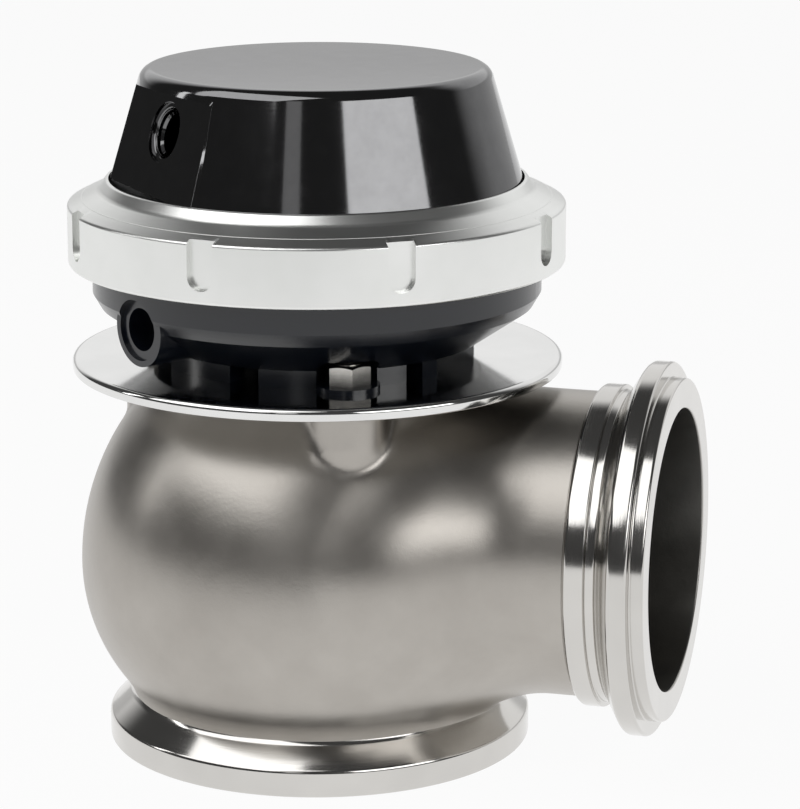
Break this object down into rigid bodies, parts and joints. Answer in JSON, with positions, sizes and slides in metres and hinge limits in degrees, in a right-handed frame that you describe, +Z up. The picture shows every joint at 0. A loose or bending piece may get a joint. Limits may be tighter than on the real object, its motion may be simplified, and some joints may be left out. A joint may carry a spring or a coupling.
{
  "type": "turbo wastegate",
  "caption": "External turbo wastegate: cast body with inlet flange below and outlet flange at the side, spring and diaphragm actuator with screw collar above.",
  "frame": {"origin": "centre of the inlet flange face, on the valve axis", "axes": "+Z up the valve axis towards the actuator, +X out of the outlet"},
  "size_m": [0.123, 0.0986, 0.1365],
  "materials": {
    "cast_stainless": "as cast, bead blasted",
    "machined_stainless": "turned and ground",
    "guide_bronze": "turned",
    "polished_shield": "mirror polished",
    "bright_fastener": "zinc plated",
    "gasket_graphite": "matt",
    "black_anodised": "machined, black anodised",
    "bright_aluminium": "machined and polished",
    "plain_aluminium": "machined",
    "diaphragm_rubber": "fabric reinforced silicone",
    "seal_rubber": "matt",
    "spring_steel": "painted wire",
    "slip_plastic": "low friction shim"
  },
  "bodies": {
    "housing": {"valve_body": "cast_stainless", "inlet_flange": "machined_stainless", "outlet_flange": "machined_stainless", "seat_ring": "machined_stainless", "valve_guide": "guide_bronze", "stem_seal": "seal_rubber", "seal_retainer": "machined_stainless", "circlip": "machined_stainless", "body_gasket": "gasket_graphite", "heat_shield": "polished_shield", "housing_studs": "bright_fastener", "housing_nuts": "bright_fastener", "lower_housing": "black_anodised", "diaphragm": "diaphragm_rubber", "slip_ring": "slip_plastic", "locking_collar": "bright_aluminium", "outer_spring": "spring_steel", "inner_spring": "spring_steel"},
    "valve_train": {"poppet_valve": "machined_stainless", "lower_plate": "plain_aluminium", "upper_plate": "plain_aluminium", "plate_washer": "machined_stainless", "valve_nut": "bright_fastener"},
    "cap": {"actuator_cap": "black_anodised"}
  },
  "joints": [
    {"name": "valve_lift", "type": "slide", "parent": "housing", "child": "valve_train", "axis": [0, 0, 1], "range_m": [0, 0.014], "stiffness_N_per_m": 9000, "springref_m": -0.022, "deforming": ["outer_spring", "inner_spring", "diaphragm"]},
    {"name": "cap_turn", "type": "hinge", "parent": "housing", "child": "cap", "pos_m": [0, 0, 0.11], "axis": [0, 0, 1], "continuous": true}
  ]
}
